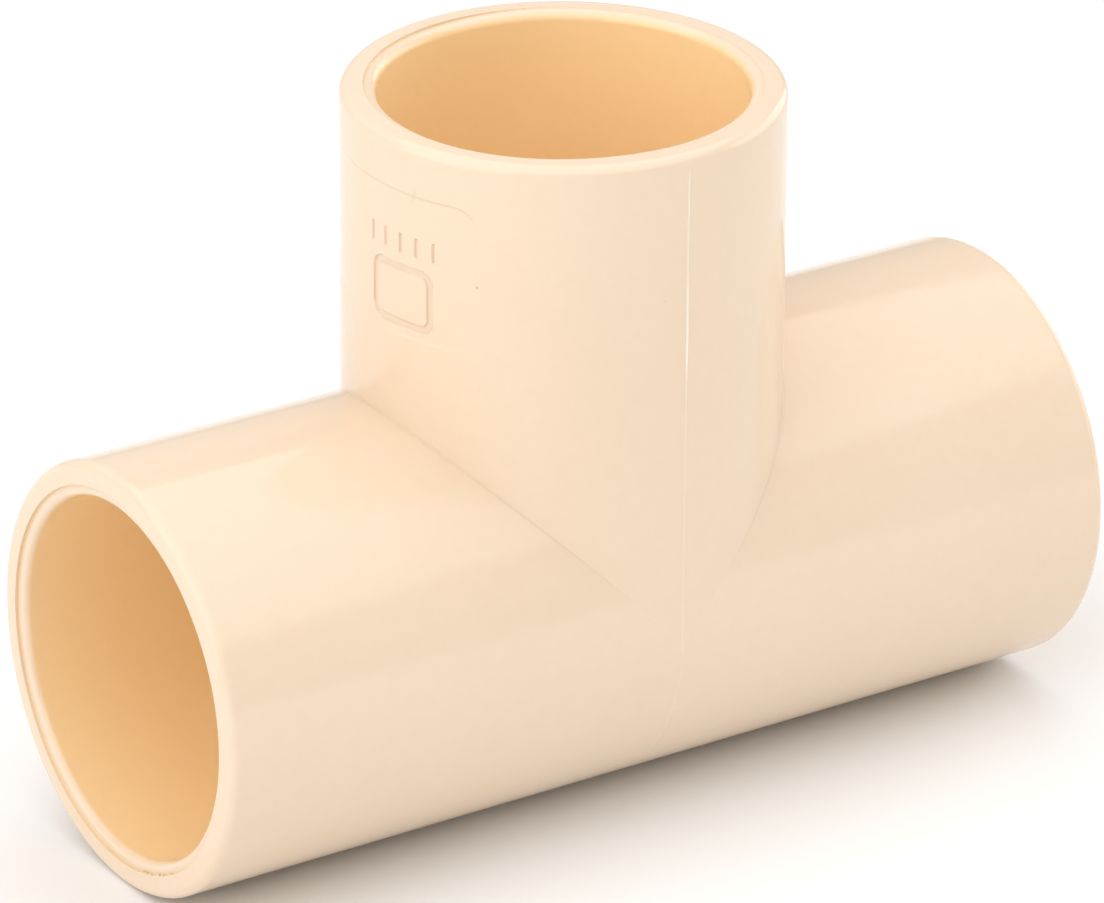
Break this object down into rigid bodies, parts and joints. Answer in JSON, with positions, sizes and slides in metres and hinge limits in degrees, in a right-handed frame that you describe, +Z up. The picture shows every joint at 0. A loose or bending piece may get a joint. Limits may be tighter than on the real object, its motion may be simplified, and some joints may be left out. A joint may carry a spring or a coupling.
{
  "type": "slip-socket pipe tee",
  "caption": "Equal moulded plastic pipe tee with a plain solvent-weld socket on each end of the run and on the branch.",
  "frame": {"origin": "centre of the footprint on the resting surface, straight below the crossing of the run axis and the branch axis", "axes": "X along the run, Y across it, +Z up along the branch; the run axis is 24.8 mm above the origin"},
  "size_m": [0.1164, 0.0496, 0.083],
  "materials": {
    "fitting_plastic": "cream to pale tan rigid plastic, as moulded, satin to slightly glossy"
  },
  "bodies": {
    "root": {"run_socket_left": "fitting_plastic", "run_socket_right": "fitting_plastic", "branch_socket": "fitting_plastic", "centre_body": "fitting_plastic"}
  },
  "joints": []
}
